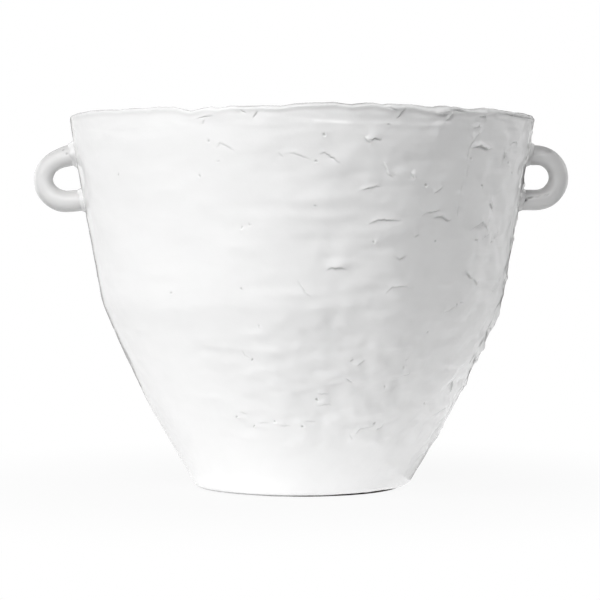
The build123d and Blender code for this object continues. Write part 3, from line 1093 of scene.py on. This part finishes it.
class CachepotSettings(bpy.types.PropertyGroup):
    """Sizes and colours that a user would change."""

    lump_height: share_setting("Lumps", "Height of the broad lumps of the wall, in millimetres", 1.2)
    trowel_tilt: share_setting("Trowelling", "Tilt of the trowelled patches, as a share of the usual")
    ring_height: share_setting("Rings", "Strength of the faint rings, as a share of the usual")
    tear_depth: share_setting("Tears", "Depth of the tears in the clay, as a share of the usual")
    lip_waver: share_setting("Lip", "Waver of the lip, as a share of the usual")
    glaze: colour_setting("Glaze", "White of the glaze", "F2F2F2")
    pooled: colour_setting("Pooled glaze", "White where the glaze lies thick", "ECECEC")
    # The grey of glaze running thinner over dark clay, also the colour of the painted shade
    thin_glaze_and_shade: colour_setting("Thin glaze", "Grey where dark clay shows through", "6A6867")
    clay: colour_setting("Clay", "Bare fired clay", "3A3532")
    clay_worn: colour_setting("Worn clay", "Bare clay where it is rubbed", "575049")
    floor_white: colour_setting("Floor", "Floor where the pot's shadow shows and light bounces", "B4B4B4")


class CACHEPOT_OT_wall(bpy.types.Operator):
    """Builds the floor, the seam coil, both wall sections and the rim as one glazed skin in five pieces"""

    bl_idname = "cachepot.wall"
    bl_label = "Wall, floor and rim"

    def execute(self, context):
        outlines = {
            "floor_slab": (
                [skin_rows(AXIS_LOW, FLOOR_OUT, SKIN_STEP), skin_rows(COIL_TOE, AXIS_HIGH, INSIDE_STEP)],
                False,
            ),
            "floor_seam_coil": ([skin_rows(COIL_TOP, COIL_TOE, SKIN_STEP), [CORNER]], True),
            "lower_wall": (
                [skin_rows(FLOOR_OUT, BEND_OUT, SKIN_STEP), skin_rows(BEND_IN, COIL_TOP, INSIDE_STEP),
                 [CORNER]],
                True,
            ),
            "upper_wall": (
                [skin_rows(BEND_OUT, RIM_OUT, SKIN_STEP), RIDGE, skin_rows(RIM_IN, BEND_IN, INSIDE_STEP)],
                True,
            ),
            "rim_coil": ([skin_rows(RIM_OUT, RIM_IN, LIP_STEP), RIDGE[::-1]], True),
        }
        for node, (outline, closed) in outlines.items():
            bm = spun_ring(outline, closed)
            for reach in REFINE_REACHES:
                refine(bm, reach)
            obj = finish_skin(bm, f"{node}_glazed")
            place_piece(obj, "white_glaze", node)
            glaze(obj)
        return {"FINISHED"}


class CACHEPOT_OT_handles(bpy.types.Operator):
    """Rolls the two loop handles"""

    bl_idname = "cachepot.handles"
    bl_label = "Handles"

    def execute(self, context):
        for name, side in (("left", -1), ("right", 1)):
            bm, thin_and_shade = loop_handle(side, LOOPS[name])
            obj = finish_mesh(bm, f"{name}_handle_glazed", thin_and_shade)
            place_piece(obj, "white_glaze", f"{name}_handle")
            glaze(obj)
        return {"FINISHED"}


class CACHEPOT_OT_collars(bpy.types.Operator):
    """Presses a collar of clay round each root of the handles"""

    bl_idname = "cachepot.collars"
    bl_label = "Collars"

    def execute(self, context):
        for node, sizes in COLLARS.items():
            bm = luted_collar(*sizes)
            obj = finish_mesh(bm, f"{node}_glazed", np.full(len(bm.verts), COLLAR_THIN))
            place_piece(obj, "white_glaze", node)
            glaze(obj)
        return {"FINISHED"}


class CACHEPOT_OT_foot(bpy.types.Operator):
    """Turns the bare foot ring"""

    bl_idname = "cachepot.foot"
    bl_label = "Foot ring"

    def execute(self, context):
        obj = finish_mesh(foot_ring(), "foot_ring_bare")
        place_piece(obj, "bare_clay", "foot_ring")
        cover(obj, "bare_dark_clay", bare_clay)
        return {"FINISHED"}


class CACHEPOT_OT_stage(bpy.types.Operator):
    """Sets up the floor, the studio lights, the world and the camera"""

    bl_idname = "cachepot.stage"
    bl_label = "Studio"

    def execute(self, context):
        make_floor()
        make_world()
        for lamp in LAMPS:
            area_light(*lamp)
        for card in CARDS:
            studio_card(*card)
        make_camera()
        context.scene.view_settings.view_transform = "Standard"
        return {"FINISHED"}


def seen_rays(tree):
    """1 for rays from the camera, a mirror or a glass, and 0 for rays that carry light to other things."""
    path = add_node(tree, "ShaderNodeLightPath")
    seen = path.outputs["Is Camera Ray"]
    for kind in ("Is Glossy Ray", "Is Transmission Ray"):
        either = {0: seen, 1: path.outputs[kind]}
        seen = add_node(tree, "ShaderNodeMath", either, operation="MAXIMUM").outputs[0]
    return seen


def studio_object(bm, name, material):
    """Turns a bmesh into an object of the studio."""
    mesh = bpy.data.meshes.new(name)
    bm.to_mesh(mesh)
    bm.free()
    mesh.materials.append(material)
    obj = bpy.data.objects.new(name, mesh)
    bpy.context.scene.collection.objects.link(obj)
    return obj


def floor_paper():
    """Pale paper that keeps the pot's shadow near it and fades to the background's white."""
    material, output = new_material("studio_floor")
    tree = material.node_tree
    place = add_node(tree, "ShaderNodeTexCoord").outputs["Object"]
    far = add_node(tree, "ShaderNodeVectorMath", {0: place}, operation="LENGTH").outputs["Value"]
    fade = add_node(
        tree, "ShaderNodeMapRange",
        {"Value": far, "From Min": 0.08, "From Max": 0.40, "To Min": 0.92, "To Max": 1.0},
        interpolation_type="SMOOTHSTEP",
    ).outputs["Result"]
    share = add_node(tree, "ShaderNodeMath", {0: seen_rays(tree), 1: fade}, operation="MULTIPLY").outputs[0]
    paper = add_node(tree, "ShaderNodeBsdfDiffuse", {"Color": (*bpy.context.scene.cachepot.floor_white, 1)})
    white = add_node(tree, "ShaderNodeEmission", {"Color": (1, 1, 1, 1), "Strength": 1.0})
    mixed = add_node(tree, "ShaderNodeMixShader", {0: share, 1: paper.outputs[0], 2: white.outputs[0]})
    tree.links.new(mixed.outputs[0], output.inputs["Surface"])
    return material


def make_floor():
    """A wide pale floor under the pot."""
    bm = bmesh.new()
    bmesh.ops.create_grid(bm, x_segments=1, y_segments=1, size=FLOOR_REACH)
    floor = studio_object(bm, "studio_floor", floor_paper())


def make_world():
    """A white surround where it is seen or mirrored. It doesn't light the pot by itself."""
    world = bpy.data.worlds.new("studio_surround")
    bpy.context.scene.world = world
    world.use_nodes = True
    tree = world.node_tree
    tree.nodes.clear()
    background = add_node(tree, "ShaderNodeBackground", {"Color": (1, 1, 1, 1), "Strength": seen_rays(tree)})
    output = add_node(tree, "ShaderNodeOutputWorld")
    tree.links.new(background.outputs[0], output.inputs["Surface"])


def area_light(name, place, target, size, power):
    """A round soft light that faces a target, and that neither the camera nor the glaze sees."""
    light = bpy.data.lights.new(name, "AREA")
    light.shape = "DISK"
    light.size = size
    light.energy = power
    obj = bpy.data.objects.new(name, light)
    obj.location = place
    obj.rotation_euler = (Vector(target) - Vector(place)).to_track_quat("-Z", "Y").to_euler()
    obj.visible_camera = False
    obj.visible_glossy = False
    bpy.context.scene.collection.objects.link(obj)


def studio_card(name, place, target, wide, tall, bright):
    """A dark or bright card that shows in the glaze and nowhere else."""
    bm = bmesh.new()
    bmesh.ops.create_grid(bm, x_segments=1, y_segments=1, size=0.5)
    bmesh.ops.scale(bm, verts=bm.verts, vec=(wide, tall, 1))
    turned = (Vector(target) - Vector(place)).to_track_quat("-Z", "Y").to_matrix()
    bmesh.ops.transform(bm, verts=bm.verts, matrix=Matrix.LocRotScale(Vector(place), turned, None))
    material, output = new_material(name)
    glow = add_node(material.node_tree, "ShaderNodeEmission", {"Color": (1, 1, 1, 1), "Strength": bright})
    material.node_tree.links.new(glow.outputs[0], output.inputs["Surface"])
    card = studio_object(bm, name, material)
    card.visible_camera = False
    card.visible_diffuse = False
    card.visible_shadow = False


def make_camera():
    """The photograph's camera: a long lens a little below the rim."""
    camera = bpy.data.cameras.new("photo_camera")
    camera.sensor_width = SENSOR
    camera.lens = SENSOR * FOCAL_PIXELS / IMAGE_SIDE
    obj = bpy.data.objects.new("photo_camera", camera)
    drop = atan2(IMAGE_SIDE / 2 - HORIZON_PIXEL, FOCAL_PIXELS)
    aside = (IMAGE_SIDE / 2 - AXIS_PIXEL) * CAMERA_DISTANCE / FOCAL_PIXELS
    obj.location = (aside, -CAMERA_DISTANCE, CAMERA_HEIGHT)
    obj.rotation_euler = (pi / 2 - drop, 0, 0)
    bpy.context.scene.collection.objects.link(obj)
    bpy.context.scene.camera = obj


class CACHEPOT_PT_panel(bpy.types.Panel):
    """Lists the sizes, the colours and the steps"""

    bl_idname = "CACHEPOT_PT_panel"
    bl_label = "Cachepot"
    bl_space_type = "VIEW_3D"
    bl_region_type = "UI"
    bl_category = "Cachepot"

    def draw(self, context):
        settings = context.scene.cachepot
        for name in CachepotSettings.__annotations__:
            self.layout.prop(settings, name)
        for operator in OPERATORS:
            self.layout.operator(operator.bl_idname)


OPERATORS = (
    CACHEPOT_OT_wall, CACHEPOT_OT_handles, CACHEPOT_OT_collars, CACHEPOT_OT_foot, CACHEPOT_OT_stage,
)
CLASSES = (CachepotSettings, *OPERATORS, CACHEPOT_PT_panel)


def register():
    for cls in CLASSES:
        bpy.utils.register_class(cls)
    bpy.types.Scene.cachepot = bpy.props.PointerProperty(type=CachepotSettings)


def unregister():
    del bpy.types.Scene.cachepot
    for cls in reversed(CLASSES):
        bpy.utils.unregister_class(cls)


def main():
    """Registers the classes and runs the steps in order."""
    register()
    bpy.ops.cachepot.wall()
    bpy.ops.cachepot.handles()
    bpy.ops.cachepot.collars()
    bpy.ops.cachepot.foot()
    bpy.ops.cachepot.stage()


if __name__ == "__main__":
    main()
